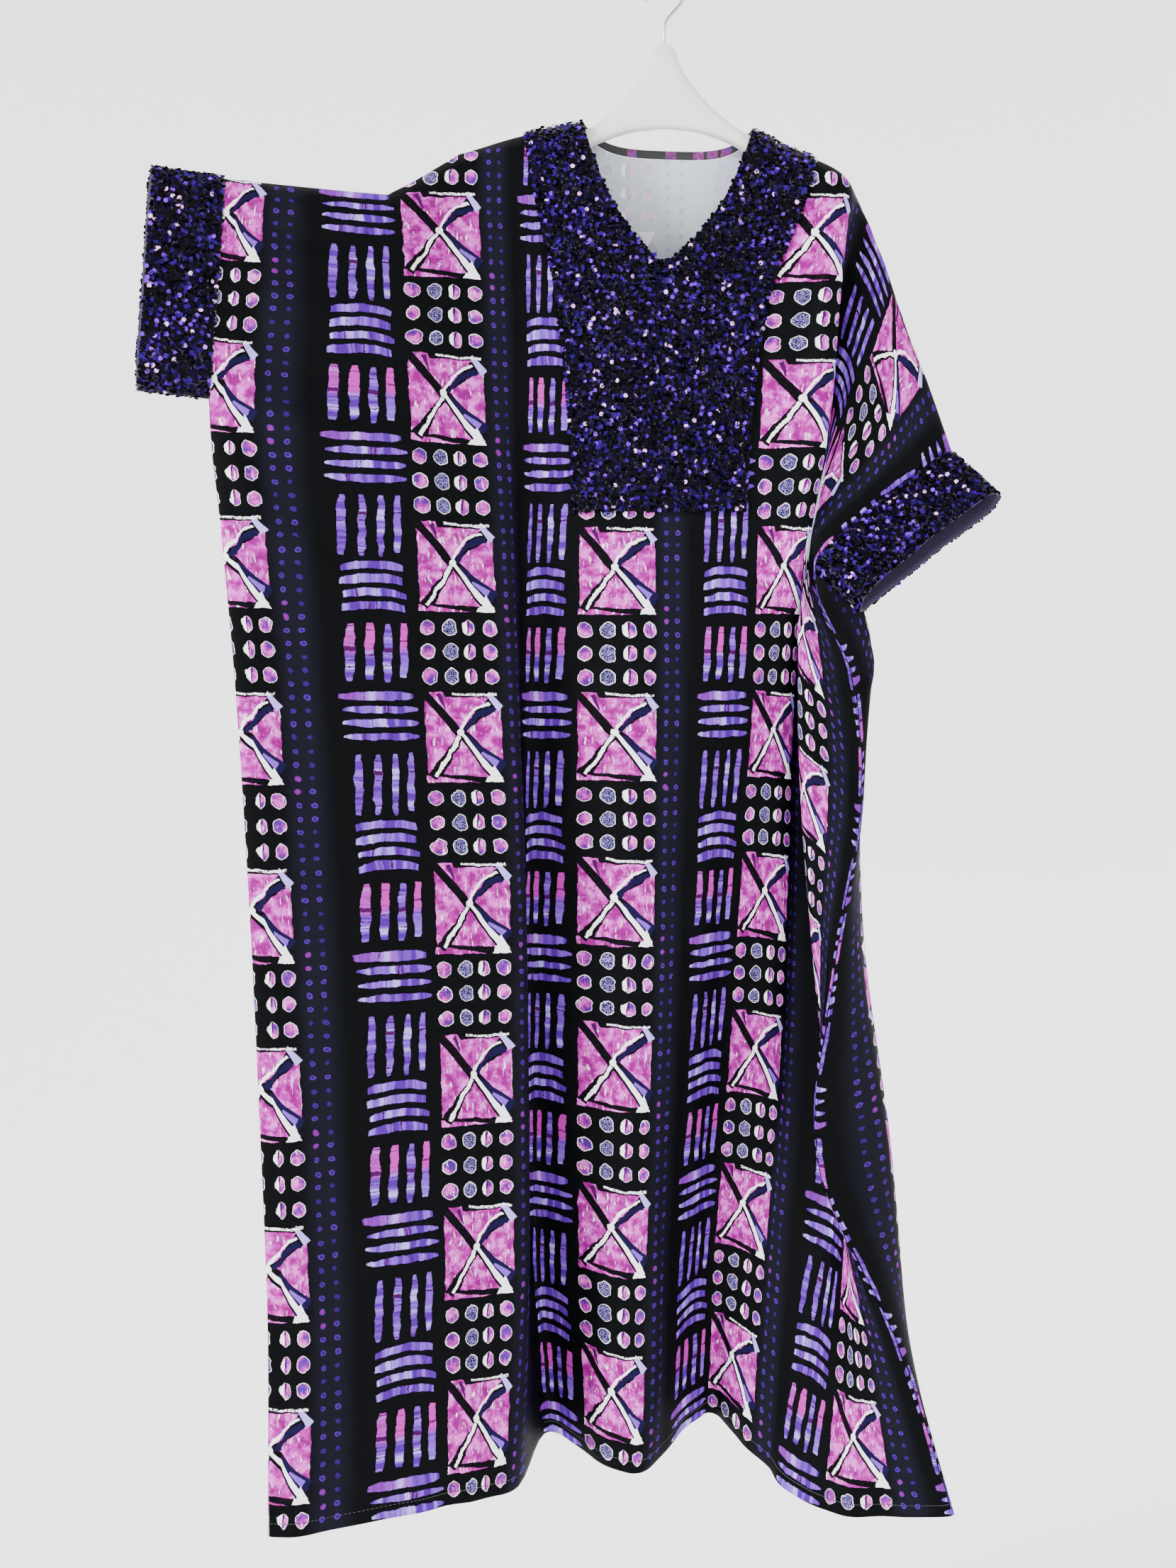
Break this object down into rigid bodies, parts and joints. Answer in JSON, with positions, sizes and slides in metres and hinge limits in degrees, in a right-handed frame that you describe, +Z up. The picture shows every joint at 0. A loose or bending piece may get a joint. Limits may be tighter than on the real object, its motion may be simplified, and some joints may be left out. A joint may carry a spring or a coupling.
{
  "type": "kaftan dress on a clothes hanger",
  "caption": "Wide printed kaftan dress with sequin yoke and cuffs, hanging on a white plastic hanger.",
  "frame": {"origin": "underside of the hook's bend, where a rail carries the hanger", "axes": "+Z up, front of the dress towards -Y, +X to the right as one looks at the front"},
  "size_m": [0.8254, 0.2466, 1.5154],
  "materials": {
    "print_cloth": "smooth printed polyester, near-black with a violet, pink and white print",
    "sequin_cloth": "violet sequins sewn close together on net",
    "binding_cloth": "folded printed binding",
    "hanger_plastic": "satin moulded plastic",
    "hook_steel": "polished wire"
  },
  "bodies": {
    "root": {"front_panel": "print_cloth", "back_panel": "print_cloth", "sequin_yoke": "sequin_cloth", "back_neck_binding": "binding_cloth", "cuff_left": "sequin_cloth", "cuff_right": "sequin_cloth", "hanger": "hanger_plastic", "hanger_hook": "hook_steel"}
  },
  "joints": []
}
